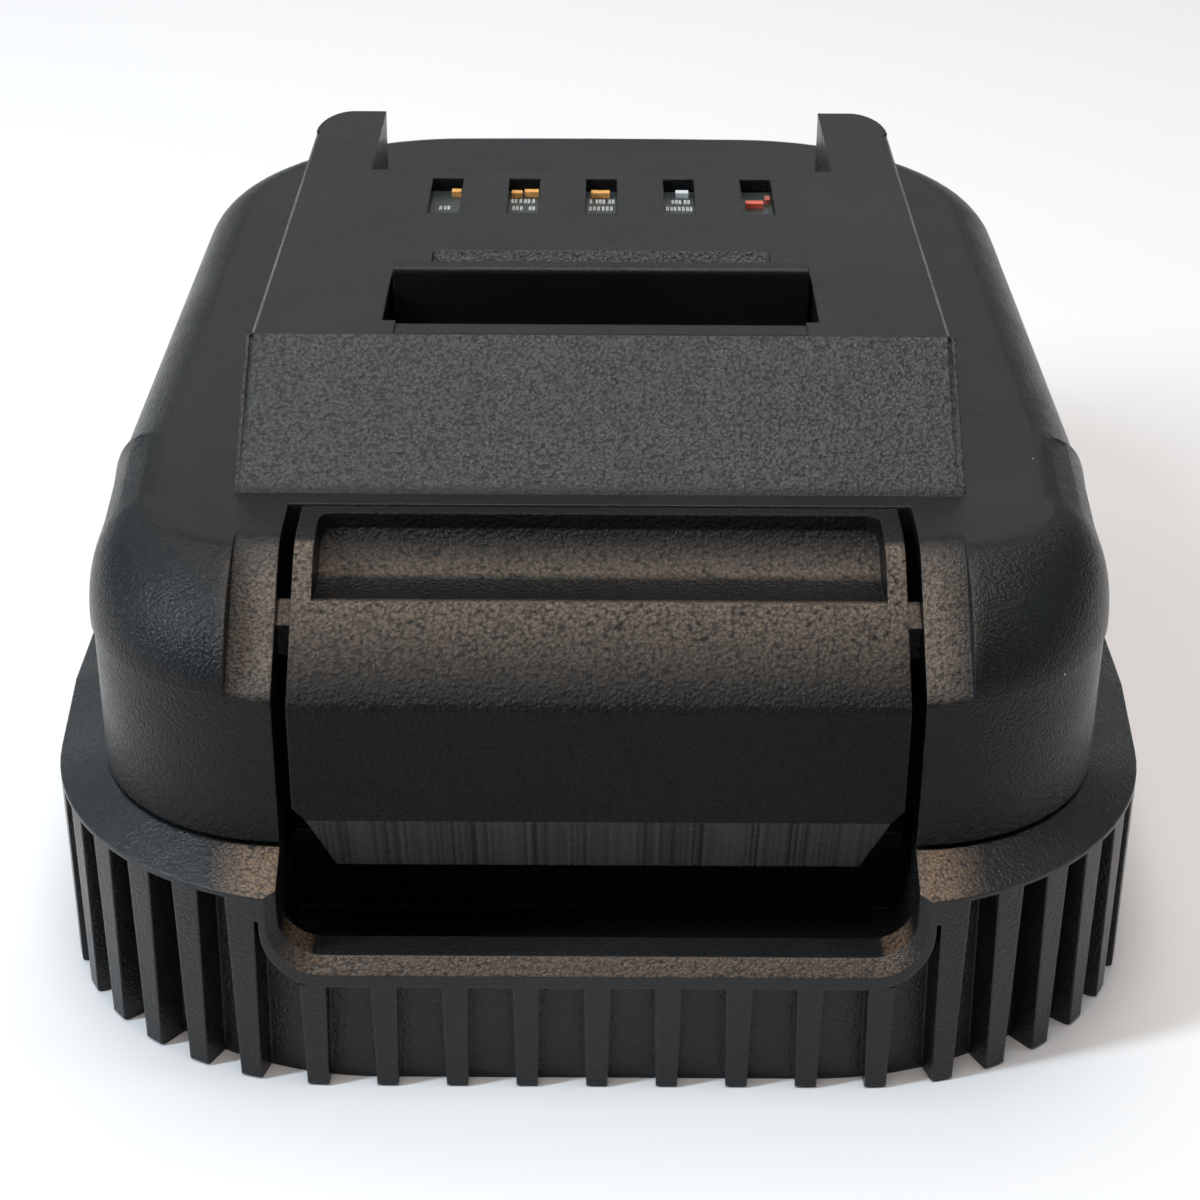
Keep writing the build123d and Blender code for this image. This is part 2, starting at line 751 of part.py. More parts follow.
def make_release_button():
    half = button_width / 2
    low_z = skirt_of_button_z - 1
    ceiling = deck_z - button_ceiling
    inner_rear = button_rear_y - button_wall
    inner_front = button_front_y + button_wall
    body = extrude(Plane.YZ * button_side_view(), half, both=True)
    body -= side_profile([
        (inner_rear, low_z), (inner_rear, ceiling), (scoop_front_y + 0.6, ceiling),
        (inner_front, crease_z - 1.2), (inner_front, low_z),
    ], button_wall - half, half - button_wall)
    arm_slot = arm_width / 2 + hole_gap
    body -= block(-arm_slot, arm_slot, inner_rear - 0.5, button_rear_y + 1, low_z, arm_top_z)
    body += rods(slider_screw_places, arm_top_z, ceiling + 0.5, slider_boss_radius)
    body -= finger_scoop()
    # lower corners are cut back
    side = half - bevel_side_start
    body -= both_sides(front_profile([
        (half + 1, apron_bottom_z + 1), (half, apron_bottom_z + 1), (side, apron_bottom_z),
        (side - bevel_side_run, bevel_bottom_z), (side - bevel_side_run, bevel_bottom_z - 1),
        (half + 1, bevel_bottom_z - 1),
    ], button_front_y - 1, button_front_y + bevel_run + button_wall + 1))
    pilot_z = arm_top_z + slider_screw_length - arm_thickness + 0.6
    return body - rods(slider_screw_places, arm_top_z - 1, pilot_z, small_screw_radius)


def make_latch_slider():
    half = latch_width / 2
    nose_half = latch_nose_width / 2
    top = rail_top_z + latch_rise
    body = block(-arm_width / 2, arm_width / 2, arm_front_y, latch_rear_y, arm_under_z, arm_top_z)
    body += block(-half, half, latch_face_y, latch_face_y + latch_wide_length, arm_under_z, top)
    body += block(-nose_half, nose_half, latch_face_y, latch_rear_y, arm_under_z, top)
    lead_y = latch_face_y + latch_lead
    body -= side_profile([
        (lead_y, top), (lead_y, top + 1), (latch_rear_y + 1, top + 1),
        (latch_rear_y + 1, top - latch_lead_drop - 0.5), (latch_rear_y, top - latch_lead_drop),
    ], -half - 1, half + 1)
    lip = body.edges().filter_by(Axis.X).filter_by_position(Axis.Z, top - 0.01, top + 0.01)
    body = fillet(lip.sort_by(Axis.Y)[0], latch_lip_radius)
    # hollow back, and an opening that leaves the arm a frame
    body -= block(latch_wall - nose_half, nose_half - latch_wall, latch_face_y + latch_wall,
                  latch_rear_y + 1, arm_top_z, rail_top_z - latch_lead_drop - latch_wall)
    body -= block(-arm_opening / 2, arm_opening / 2, arm_front_y + 8, latch_face_y - 4,
                  arm_under_z - 1, arm_top_z + 1)
    body -= rods(slider_screw_places, arm_under_z - 1, arm_top_z + 1, small_screw_radius + hole_gap)
    body += rods(spring_places, arm_under_z - arm_post_height, arm_under_z + 0.5, post_radius)
    # stops under the roof set the height of the latch
    inner = arm_width / 2 - stop_width
    return body + both_sides(block(inner, arm_width / 2, stop_rear_y - stop_length, stop_rear_y,
                                   arm_top_z - 0.5, deck_under_z - fit_gap))


def coil_path(low, high):
    """Spring's centre line: each half turn is a pair of arcs, tangent where they meet."""
    rise = (high - low) / (spring_turns * 2 * pi)
    arcs = []
    for half_turn in range(spring_turns * 2):
        ends = []
        for turn in (half_turn * pi, (half_turn + 1) * pi):
            place = Vector(spring_radius * cos(turn), spring_radius * sin(turn), low + rise * turn)
            heading = Vector(-spring_radius * sin(turn), spring_radius * cos(turn), rise).normalized()
            ends.append((place, heading))
        (p0, t0), (p1, t1) = ends
        span = p1 - p0
        a = 2 * (t0.dot(t1) - 1)
        b = -2 * span.dot(t0 + t1)
        reach = (-b - sqrt(b * b - 4 * a * span.dot(span))) / (2 * a)
        near = p0 + t0 * reach
        far = p1 - t1 * reach
        arcs.append(TangentArc(p0, (near + far) / 2, tangent=t0))
        arcs.append(TangentArc((near + far) / 2, p1, tangent=far - near))
    return Wire(arcs)


def least_gap(path):
    """Least gap between the turns of a spring, measured on points along its wire."""
    count = spring_turns * 24
    points = [path @ (k / count) for k in range(count + 1)]
    nearest = min((a - b).length for k, a in enumerate(points) for b in points[k + 12:])
    return nearest - spring_wire


def make_spring(x):
    """Coil spring between the plate of the base and the slider arm."""
    low = plate_top_z + spring_seat + spring_wire / 2
    high = arm_under_z - spring_seat - spring_wire / 2
    path = coil_path(low, high)
    print(f"least gap between the spring's turns {least_gap(path):.2f} mm")
    section = Plane(origin=path @ 0, z_dir=path % 0) * Circle(spring_wire / 2)
    return Pos(x, spring_y, 0) * sweep(section, path=path)


# Board, contacts and what is soldered to them

def make_terminal_board():
    front_half = board_half - board_shoulder
    neck_y = board_front_y + board_neck
    board = block(-board_half, board_half, neck_y, board_rear_y, board_under_z, board_top_z)
    return board + block(-front_half, front_half, board_front_y, neck_y + 0.2, board_under_z, board_top_z)


def make_contact_carrier():
    body = block(-carrier_half, carrier_half, carrier_front_y, step_y - roof - fit_gap, carrier_bottom_z,
                 board_under_z - screw_slack)
    body += both_sides(block(carrier_half - carrier_side_inset, board_half + 0.2, board_front_y + 0.2,
                             carrier_front_y + 3, carrier_bottom_z, carrier_bottom_z + carrier_ear))
    pocket = clip_outer / 2 + screw_slack
    for x in contact_x:
        body -= block(x - pocket, x + pocket, carrier_front_y + 1.2, step_y, slot_floor_z - 0.6,
                      board_under_z + 1)
    return body - rods(carrier_screw_places, carrier_bottom_z - 1, carrier_bottom_z + carrier_ear + 1,
                       small_screw_radius + hole_gap)


def make_contact_clip(x):
    """Sprung female contact: a bridge under the board and two leaves that pinch a blade."""
    front = carrier_front_y + 1.6
    half = clip_outer / 2
    top = board_under_z - screw_slack
    low = slot_floor_z - 0.3
    waist = low + clip_waist
    shoulder = top - clip_shoulder
    side = front_profile([
        (half, top), (half, shoulder), (clip_pinch + clip_leaf, waist), (clip_mouth + clip_leaf, low),
        (clip_mouth, low), (clip_pinch, waist), (half - clip_leaf, shoulder),
        (half - clip_leaf, top - clip_leaf), (0, top - clip_leaf), (0, top),
    ], front, front + clip_length)
    return Pos(x, 0, 0) * (side + mirror(side, Plane.YZ))


def make_blade(x, thick, tip_y):
    """Upright blade in the channel, with a tail that comes up through the plate."""
    low = blade_low_z
    high = low + blade_height
    tail_y = blade_front_y + blade_tail
    return side_profile([
        (blade_front_y, low), (tip_y - 1, low), (tip_y, low + 1), (tip_y, high - 1), (tip_y - 1, high),
        (tail_y, high), (tail_y, blade_tail_z), (blade_front_y, blade_tail_z),
    ], x - thick / 2, x + thick / 2)


def make_blade_holder():
    rear = blade_front_y + holder_length
    top = channel_top_z - screw_slack
    body = block(-holder_width / 2, holder_width / 2, channel_front_y + fit_gap, rear, holder_low_z, top)
    for name, x, thick in blades:
        slot = thick / 2 + screw_slack
        body -= block(x - slot, x + slot, blade_front_y - screw_slack, rear + 1,
                      blade_low_z - screw_slack, top + 1)
    body -= rods(holder_screw_places, holder_low_z - 1, top + 1, small_screw_radius + hole_gap)
    return body - rods(holder_screw_places, holder_low_z - 1, holder_seat_z, small_head_radius + hole_gap)


def make_wire(points, radius):
    """Round insulated wire along straight runs with rounded bends."""
    runs = [Vector(*b) - Vector(*a) for a, b in zip(points, points[1:])]
    bends = []
    for before, after in zip(runs, runs[1:]):
        turn = radians(before.get_angle(after))
        short = min(before.length, after.length)
        bends.append(0.45 * short / ((1 - cos(turn)) / sin(turn)))
    path = FilletPolyline(*points, radius=bends)
    section = Plane(origin=path @ 0, z_dir=path % 0) * Circle(radius)
    return sweep(section, path=path)


def wire_route(x, tail_x):
    """From the underside of the board, down behind the slider and along the plate to a blade tail."""
    tail_y = blade_front_y + blade_tail
    low = plate_top_z + wire_low
    return [
        (x, board_front_y + 2.0, board_under_z),
        (x, board_front_y + 2.0, board_under_z - 6.0),
        (x * 1.08, board_front_y + 1.2, 28.5),
        (x * 1.14, board_front_y + 0.2, 21.5),
        (x * 1.15, board_front_y - 2.6, low + 1.4),
        (x * 1.17, board_front_y - 8.9, low + 0.1),
        (tail_x * 1.02, tail_y + 13.9, low - 0.1),
        (tail_x, tail_y + 6.9, low + 0.2),
        (tail_x, tail_y, low + 0.2),
    ]


# Screws and small parts

def screw(x, y, head_z, length, radius, head_radius, head):
    """Pan-head screw that points up from its head, with a cross slot underneath."""
    body = Pos(x, y, head_z + head + length / 2) * Cylinder(radius, length)
    body += Pos(x, y, head_z + head / 2) * Cylinder(head_radius, head)
    reach = head_radius * cross_reach
    half = cross_slot / 2
    body -= block(x - half, x + half, y - reach, y + reach, head_z - 1, head_z + 0.5)
    return body - block(x - reach, x + reach, y - half, y + half, head_z - 1, head_z + 0.5)


def make_housing_screws():
    return Compound([
        screw(x, y, screw_seat_z - screw_head, screw_length, screw_radius - screw_slack,
              screw_head_radius, screw_head)
        for x, y in housing_screw_places])


def small_screws(places, seat_z, length):
    """Pair of small screws whose heads bear on the same level."""
    return Compound([
        screw(x, y, seat_z - small_head, length, small_screw_radius - screw_slack, small_head_radius,
              small_head)
        for x, y in places])


def part_under_board(x, front, size):
    """Flat electronic part soldered to the underside of the board."""
    width, length, height = size
    return block(x - width / 2, x + width / 2, front, front + length, board_under_z - height, board_under_z)


def make_power_transistors():
    """Two flat power switches, each beside its wires."""
    return Compound([part_under_board(x, board_front_y + 0.4, switch_size) for x in (-switch_x, switch_x)])


def make_chip_capacitors():
    """Small parts on the face of the board that show through the windows."""
    parts = []
    for middle, chips in zip(contact_x, window_chips):
        for shift, from_step, length in chips:
            x = middle + shift
            y = step_y - from_step
            parts.append(block(x - length / 2, x + length / 2, y - small_part_width / 2,
                               y + small_part_width / 2, board_top_z, board_top_z + small_part_height))
    return Compound(parts)


def write(name, shape):
    export_step(shape, f"parts/{name}.step")


write("upper_housing", make_upper_housing())
write("base_shell", make_base_shell())
write("release_button", make_release_button())
write("latch_slider", make_latch_slider())
write("latch_spring_left", make_spring(-spring_x))
write("latch_spring_right", make_spring(spring_x))
write("slider_screws", small_screws(slider_screw_places, arm_under_z, slider_screw_length))
write("terminal_board", make_terminal_board())
write("chip_capacitors", make_chip_capacitors())
write("power_transistors", make_power_transistors())
write("sense_chip", part_under_board(0, board_front_y + 0.8, sense_chip_size))
write("contact_carrier", make_contact_carrier())
write("carrier_screws", small_screws(carrier_screw_places, carrier_bottom_z, carrier_screw_length))
for index, x in enumerate(contact_x):
    write(f"contact_clip_{index + 1}", make_contact_clip(x))
write("blade_holder", make_blade_holder())
write("holder_screws", small_screws(holder_screw_places, holder_seat_z, holder_screw_length))
for name, x, thick in blades:
    signal = "signal" in name
    tip = blade_tip_y - signal_blade_short if signal else blade_tip_y
    write(name, make_blade(x, thick, tip))
    board_x = signal_wire_x if signal else power_wire_x
    route = wire_route(board_x if x > 0 else -board_x, x)
    radius = signal_wire_radius if signal else power_wire_radius
    write(name.replace("blade", "wire"), make_wire(route, radius))
write("housing_screws", make_housing_screws())
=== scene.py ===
import math
from types import SimpleNamespace

import bmesh
import bpy
from mathutils import Matrix, Vector


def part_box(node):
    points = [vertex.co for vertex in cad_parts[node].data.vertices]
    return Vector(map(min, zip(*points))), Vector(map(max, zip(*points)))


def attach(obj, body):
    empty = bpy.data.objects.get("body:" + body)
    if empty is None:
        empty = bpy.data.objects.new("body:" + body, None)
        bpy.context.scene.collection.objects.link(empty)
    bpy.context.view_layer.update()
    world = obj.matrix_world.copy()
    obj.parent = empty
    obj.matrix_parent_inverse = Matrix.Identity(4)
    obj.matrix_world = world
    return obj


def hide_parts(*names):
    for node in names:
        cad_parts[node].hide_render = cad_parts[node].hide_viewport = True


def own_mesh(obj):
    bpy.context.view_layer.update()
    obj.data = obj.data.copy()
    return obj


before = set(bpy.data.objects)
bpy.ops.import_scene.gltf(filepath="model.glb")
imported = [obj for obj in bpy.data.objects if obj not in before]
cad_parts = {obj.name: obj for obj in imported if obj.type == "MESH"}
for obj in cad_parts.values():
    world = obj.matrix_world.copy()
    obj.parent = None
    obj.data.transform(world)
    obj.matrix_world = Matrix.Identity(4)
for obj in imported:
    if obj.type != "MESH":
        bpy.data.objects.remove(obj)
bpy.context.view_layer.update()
MM = 0.001


# Base shell
# The lower half, injection moulded in black nylon: a sloped rim, a wall set with upright ribs, and
# a notch in front. The tool was spark eroded, so every outer face has a fine pebbled grain.

# Where a Mix node has its two colours, and where it gives the result.
MIX_UNDER = 6
MIX_OVER = 7
MIX_RESULT = 2


def feed(tree, node, inputs):
    """Links sockets, or sets plain values, on a node's inputs."""
    for name, value in inputs.items():
        if isinstance(value, bpy.types.NodeSocket):
            tree.links.new(value, node.inputs[name])
        else:
            node.inputs[name].default_value = value


def shade(tree, kind, inputs, **settings):
    """One shader node: settings are its own choices, inputs are values or the sockets that feed it."""
    node = tree.nodes.new("ShaderNode" + kind)
    for name, value in settings.items():
        setattr(node, name, value)
    feed(tree, node, inputs)
    return node


def plus(tree, first, second):
    return shade(tree, "Math", {0: first, 1: second}, operation="ADD").outputs[0]


def times(tree, first, second):
    return shade(tree, "Math", {0: first, 1: second}, operation="MULTIPLY").outputs[0]


def scaled(tree, colour, amount):
    """Colour or direction times an amount that may change over the surface."""
    return shade(tree, "VectorMath", {0: colour, "Scale": amount}, operation="SCALE").outputs[0]


def mixed(tree, mask, under, over):
    """One colour laid over another where a mask is 1."""
    colours = {"Factor": mask, MIX_UNDER: under, MIX_OVER: over}
    return shade(tree, "Mix", colours, data_type="RGBA").outputs[MIX_RESULT]


def stretched(tree, value, low, high, to_low=0.0, to_high=1.0):
    """Value moved from one range to another, and held within it."""
    return shade(tree, "MapRange", {
        "Value": value, "From Min": low, "From Max": high, "To Min": to_low, "To Max": to_high,
    }).outputs[0]


def along_axes(tree, vector):
    """The X, Y and Z of a position or direction."""
    return shade(tree, "SeparateXYZ", {"Vector": vector}).outputs


def facing(tree):
    """The X, Y and Z of the surface's own direction."""
    return along_axes(tree, shade(tree, "NewGeometry", {}).outputs["Normal"])


def new_group(name, takes, gives):
    """Empty shader group with its named inputs and outputs, and its two end nodes."""
    tree = bpy.data.node_groups.new(name, "ShaderNodeTree")
    for way, sockets in (("INPUT", takes), ("OUTPUT", gives)):
        for socket_name, kind in sockets:
            tree.interface.new_socket(socket_name, in_out=way, socket_type="NodeSocket" + kind)
    start = tree.nodes.new("NodeGroupInput")
    end = tree.nodes.new("NodeGroupOutput")
    return tree, start.outputs, end


WRINKLES_PER_PEBBLE = 1.8
PEBBLE_WARP = 0.3 * MM


def moulded_grain():
    """Spark-eroded grain: pebbles of one size, warped, with finer wrinkles over them."""
    tree, given, out = new_group(
        "moulded_grain",
        takes=[("Position", "Vector"), ("Pebbles", "Float"), ("Tooth", "Float")],
        gives=[("Height", "Float")])
    place = given["Position"]
    warp = shade(tree, "TexNoise", {"Vector": place, "Scale": given["Pebbles"], "Detail": 1.0})
    spread = scaled(tree, warp.outputs["Color"], PEBBLE_WARP)
    warped = shade(tree, "VectorMath", {0: place, 1: spread}, operation="ADD")
    pebble = shade(tree, "TexVoronoi", {
        "Vector": warped.outputs[0], "Scale": given["Pebbles"], "Smoothness": 0.6,
    }, feature="SMOOTH_F1")
    wrinkle = shade(tree, "TexNoise", {
        "Vector": place, "Scale": times(tree, given["Pebbles"], WRINKLES_PER_PEBBLE),
        "Detail": 2.0, "Roughness": 0.6, "Distortion": 0.8})
    tooth = times(tree, wrinkle.outputs["Fac"], given["Tooth"])
    height = shade(tree, "Math", {0: tooth, 1: pebble.outputs["Distance"]}, operation="SUBTRACT")
    feed(tree, out, {"Height": height.outputs[0]})
    return tree


CRUMBS_PER_METRE = 220.0
CRUMB_RADIUS = 0.022


def handling():
    """What handling leaves on black plastic: uneven tone and gloss, and a few specks of dust."""
    tree, given, out = new_group(
        "handling",
        takes=[("Position", "Vector"), ("Patch", "Float"), ("Dust", "Float")],
        gives=[("Tone", "Float"), ("Gloss", "Float"), ("Specks", "Float")])
    place = given["Position"]
    patch = shade(tree, "TexNoise", {
        "Vector": place, "Scale": given["Patch"], "Detail": 4.0, "Roughness": 0.65})
    smear = shade(tree, "TexNoise", {
        "Vector": place, "Scale": 90.0, "Detail": 5.0, "Roughness": 0.7, "Distortion": 1.5})
    crumb = shade(tree, "TexVoronoi", {"Vector": place, "Scale": CRUMBS_PER_METRE}, feature="F1")
    near = shade(tree, "Math", {0: crumb.outputs["Distance"], 1: CRUMB_RADIUS}, operation="LESS_THAN")
    pick = shade(tree, "SeparateColor", {"Color": crumb.outputs["Color"]})
    rare = shade(tree, "Math", {0: pick.outputs["Red"], 1: given["Dust"]}, operation="LESS_THAN")
    feed(tree, out, {
        "Tone": stretched(tree, patch.outputs["Fac"], 0.3, 0.7, 0.75, 1.3),
        "Gloss": stretched(tree, smear.outputs["Fac"], 0.35, 0.65, -0.04, 0.04),
        "Specks": times(tree, near.outputs[0], rare.outputs[0]),
    })
    return tree


def soft_edges():
    """Rounded normal at moulded edges, and a mask of where the edge lies."""
    tree, given, out = new_group(
        "soft_edges", takes=[("Radius", "Float")], gives=[("Normal", "Vector"), ("Edge", "Float")])
    rounded = shade(tree, "Bevel", {"Radius": given["Radius"]}, samples=6)
    flat = shade(tree, "NewGeometry", {})
    same = shade(tree, "VectorMath", {
        0: rounded.outputs[0], 1: flat.outputs["Normal"]}, operation="DOT_PRODUCT")
    feed(tree, out, {
        "Normal": rounded.outputs[0],
        "Edge": stretched(tree, same.outputs["Value"], 1.0, 0.75),
    })
    return tree


GRAIN = moulded_grain()
HANDLING = handling()
SOFT_EDGES = soft_edges()


def use_group(tree, group, **inputs):
    """Places a group in a material, with that material's own values, and gives its outputs."""
    node = tree.nodes.new("ShaderNodeGroup")
    node.node_tree = group
    feed(tree, node, inputs)
    return node.outputs


def new_material(name):
    """Material with its tree, its shader and the Object coordinates that patterns follow."""
    material = bpy.data.materials.new(name)
    material.use_nodes = True
    tree = material.node_tree
    shader = tree.nodes["Principled BSDF"]
    place = shade(tree, "TexCoord", {}).outputs["Object"]
    return material, tree, shader, place


# Upward part of the normal where the painted glint fades in on steep faces and fades out towards level
# ones.
STEEP_END = (0.3, 0.65)
LEVEL_END = (0.975, 0.94)
GLINT_FADE_DISTANCE = 1.5 * MM


def painted_glint_mask(tree, place, height, front_of, half_width, fade, grain_levels):
    """Mask of sloped faces near the front that get a painted warm glint, strongest on the grain's crowns:
    in front of a place, within a half width, fading in between two heights and two grain levels."""
    upward = facing(tree)["Z"]
    axes = along_axes(tree, place)
    sideways = shade(tree, "Math", {0: axes["X"]}, operation="ABSOLUTE").outputs[0]
    limits = (
        (upward, *STEEP_END),
        (upward, *LEVEL_END),
        (axes["Y"], front_of + GLINT_FADE_DISTANCE, front_of - GLINT_FADE_DISTANCE),
        (sideways, half_width + GLINT_FADE_DISTANCE, half_width - GLINT_FADE_DISTANCE),
        (axes["Z"], *fade),
        (height, *grain_levels),
    )
    mask = 1.0
    for value, nothing, full in limits:
        mask = times(tree, mask, stretched(tree, value, nothing, full))
    return mask


DUST_GREY = (0.42, 0.4, 0.38, 1)
# Painted highlight: along moulded edges the colour is made this many times lighter.
EDGE_HIGHLIGHT_LIFT = 3


def grained_plastic(name, colour, roughness, pebbles, depth, specular, dust=0.1, edge_radius=0.25,
                    glint_colour=None, glint_place=None):
    """Black moulded plastic: grain, uneven tone, dust, soft edges with a painted highlight along them, and
    a painted warm glint colour on sloped faces near the front. Pebbles, depth and edge radius are in
    millimetres."""
    material, tree, shader, place = new_material(name)
    marks = use_group(tree, HANDLING, Position=place, Patch=60.0, Dust=dust)
    edges = use_group(tree, SOFT_EDGES, Radius=edge_radius * MM)
    grain = use_group(tree, GRAIN, Position=place, Pebbles=1 / (pebbles * MM), Tooth=0.8)
    # Painted highlight along the edges, then a painted glint on the sloped faces.
    edge_highlight_colour = tuple(channel * EDGE_HIGHLIGHT_LIFT for channel in colour) + (1,)
    tone_and_painted_light = mixed(tree, edges["Edge"], scaled(tree, colour, marks["Tone"]), edge_highlight_colour)
    if glint_place:
        tone_and_painted_light = mixed(tree, painted_glint_mask(tree, place, grain["Height"], **glint_place), tone_and_painted_light, glint_colour)
    bump = shade(tree, "Bump", {
        "Height": grain["Height"], "Distance": depth * MM, "Normal": edges["Normal"]})
    feed(tree, shader, {
        "Base Color": mixed(tree, marks["Specks"], tone_and_painted_light, DUST_GREY),
        "Roughness": plus(tree, marks["Gloss"], roughness),
        "Normal": bump.outputs["Normal"],
        "Specular IOR Level": specular,
    })
    return SimpleNamespace(
        material=material, tree=tree, shader=shader, place=place, height=grain["Height"], bump=bump)


def dress(node_names, material):
    """Gives CAD nodes their finish."""
    for node_name in node_names:
        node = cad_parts[node_name]
        node.data.materials.clear()
        node.data.materials.append(material)


BASE_BLACK = (0.009, 0.009, 0.0092)
# Painted warm glint on the sloped rim near the front: a paler ochre on the grain's crowns, where light
# catches them.
GLINT_OCHRE = (0.2, 0.122, 0.072, 1)
NEAR_ALL_GRAIN = (-0.5, 0.3)
BASE_GLINT_PLACE = {
    "front_of": -49.5 * MM, "half_width": 25.5 * MM, "fade": (4.0 * MM, 17.0 * MM),
    "grain_levels": NEAR_ALL_GRAIN}
base_plastic = grained_plastic(
    "base_plastic", BASE_BLACK, roughness=0.26, pebbles=0.24, depth=0.05, specular=0.31,
    glint_colour=GLINT_OCHRE, glint_place=BASE_GLINT_PLACE)
dress(["base_shell"], base_plastic.material)


# Blades and their holder
# Four upright blades, stamped from brass, stand in a moulded block in the battery channel.
# Two small zinc plated screws hold the block under the plate.

CARRIER_BLACK = (0.02, 0.021, 0.024)
carrier_plastic, tree, shader, place = new_material("carrier_plastic")
marks = use_group(tree, HANDLING, Position=place, Patch=120.0, Dust=0.02)
flow = shade(tree, "TexNoise", {"Vector": place, "Scale": 500.0, "Detail": 3.0})
bump = shade(tree, "Bump", {"Height": flow.outputs["Fac"], "Distance": 0.01 * MM})
feed(tree, shader, {
    "Base Color": scaled(tree, CARRIER_BLACK, marks["Tone"]),
    "Roughness": plus(tree, marks["Gloss"], 0.42),
    "Normal": bump.outputs["Normal"],
})
dress(["blade_holder"], carrier_plastic)


def worked_metal(name, colour, roughness, along):
    """Stamped, drawn or plated metal: fine streaks along one axis and uneven brightness."""
    material, tree, shader, place = new_material(name)
    stretch = shade(tree, "Mapping", {"Vector": place, "Scale": along})
    streaks = shade(tree, "TexNoise", {"Vector": stretch.outputs[0], "Scale": 9000.0, "Detail": 4.0})
    blotch = shade(tree, "TexNoise", {"Vector": place, "Scale": 260.0, "Detail": 4.0, "Roughness": 0.7})
    bright = stretched(tree, blotch.outputs["Fac"], 0.0, 1.0, 0.75, 1.1)
    bump = shade(tree, "Bump", {"Height": streaks.outputs["Fac"], "Distance": 0.004 * MM})
    feed(tree, shader, {
        "Base Color": scaled(tree, colour, bright),
        "Roughness": stretched(tree, streaks.outputs["Fac"], 0.0, 1.0, roughness - 0.08, roughness + 0.14),
        "Normal": bump.outputs["Normal"],
        "Metallic": 1.0,
    })
    return material


contact_brass = worked_metal("contact_brass", (0.72, 0.58, 0.34), 0.26, along=(0.15, 0.15, 1.0))
screw_steel = worked_metal("screw_steel", (0.5, 0.5, 0.52), 0.3, along=(1.0, 1.0, 0.15))
dress(["blade_negative", "blade_signal_left", "blade_signal_right", "blade_positive"],
      contact_brass)
dress(["holder_screws"], screw_steel)


# Wires from the board to the blades
# Stranded copper in extruded glossy insulation, soldered at both ends. The two thick ones, black and
# red, carry the power, and the two thin white ones carry signals.

def insulation(name, colour, node_names):
    """Extruded insulation: glossy, with faint scuffs."""
    material, tree, shader, place = new_material(name)
    scuff = shade(tree, "TexNoise", {"Vector": place, "Scale": 700.0, "Detail": 5.0, "Roughness": 0.7})
    bump = shade(tree, "Bump", {"Height": scuff.outputs["Fac"], "Distance": 0.01 * MM})
    feed(tree, shader, {
        "Base Color": scaled(tree, colour, stretched(tree, scuff.outputs["Fac"], 0.0, 1.0, 0.8, 1.15)),
        "Roughness": stretched(tree, scuff.outputs["Fac"], 0.0, 1.0, 0.22, 0.42),
        "Normal": bump.outputs["Normal"],
    })
    dress(node_names, material)


insulation("wire_black", (0.02, 0.02, 0.02), ["wire_negative"])
insulation("wire_white", (0.78, 0.77, 0.74), ["wire_signal_left", "wire_signal_right"])
insulation("wire_red", (0.55, 0.035, 0.025), ["wire_positive"])


# Springs under the slider
# Two coil springs of drawn steel wire, with five even turns each, sit on posts of the base and push the
# slider up.

SPRING_TURNS = 5
SPRING_RADIUS = 3.1 * MM
SPRING_WIRE = 0.7 * MM
WIRE_SIDES = 14
STEPS_PER_TURN = 32
spring_steel = worked_metal("spring_steel", (0.56, 0.56, 0.57), 0.24, along=(1.0, 1.0, 0.2))


def coil(name, node_name):
    """Helical spring between the ends of its CAD node, spun up from a ring of wire."""
    low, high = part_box(node_name)
    middle = (low + high) / 2
    bottom = low.z + SPRING_WIRE / 2
    rise = high.z - low.z - SPRING_WIRE
    bm = bmesh.new()
    bmesh.ops.create_circle(bm, cap_ends=False, segments=WIRE_SIDES, radius=SPRING_WIRE / 2)
    pitch = math.atan2(rise, SPRING_TURNS * 2 * math.pi * SPRING_RADIUS)
    upright = Matrix.Rotation(math.pi / 2 + pitch, 4, "X")
    start = Matrix.Translation((middle.x + SPRING_RADIUS, middle.y, bottom)) @ upright
    bmesh.ops.transform(bm, matrix=start, verts=bm.verts)
    steps = SPRING_TURNS * STEPS_PER_TURN
    bmesh.ops.spin(bm, geom=bm.verts[:] + bm.edges[:], cent=(middle.x, middle.y, 0), axis=(0, 0, 1),
                   dvec=(0, 0, rise / steps), angle=SPRING_TURNS * 2 * math.pi, steps=steps,
                   use_merge=False, use_normal_flip=False)
    bmesh.ops.holes_fill(bm, edges=[edge for edge in bm.edges if edge.is_boundary], sides=0)
    bmesh.ops.recalc_face_normals(bm, faces=bm.faces)
    for face in bm.faces:
        face.smooth = len(face.verts) == 4
    mesh = bpy.data.meshes.new(name)
    bm.to_mesh(mesh)
    bm.free()
    spring = bpy.data.objects.new(name, mesh)
    bpy.context.scene.collection.objects.link(spring)
    mesh.materials.append(spring_steel)
    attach(spring, "adapter_body")
    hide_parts(node_name)
    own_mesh(spring)


for side in ("left", "right"):
    coil(f"coil_{side}", f"latch_spring_{side}")


# Latch slider and its screws
# One nearly smooth moulding: an arm under the roof, and the latch that stands out of the rail block
# and holds the tool. Zinc plated screws join it to the button.

latch_plastic = grained_plastic(
    "latch_plastic", (0.006, 0.006, 0.006), roughness=0.32, pebbles=0.18, depth=0.02, specular=0.2,
    dust=0.0, edge_radius=0.15)
dress(["latch_slider"], latch_plastic.material)
dress(["slider_screws"], screw_steel)


# Release button
# Moulded in the same black plastic as the housing, with a finger scoop across its top and a coarse
# grained crest and apron. Its bevelled lower end keeps the upright marks of the cutter.

BUTTON_BLACK = (0.006, 0.0058, 0.0057)
CUT_GREY = (0.06, 0.06, 0.06)
BEVEL_TOP = 19.9 * MM
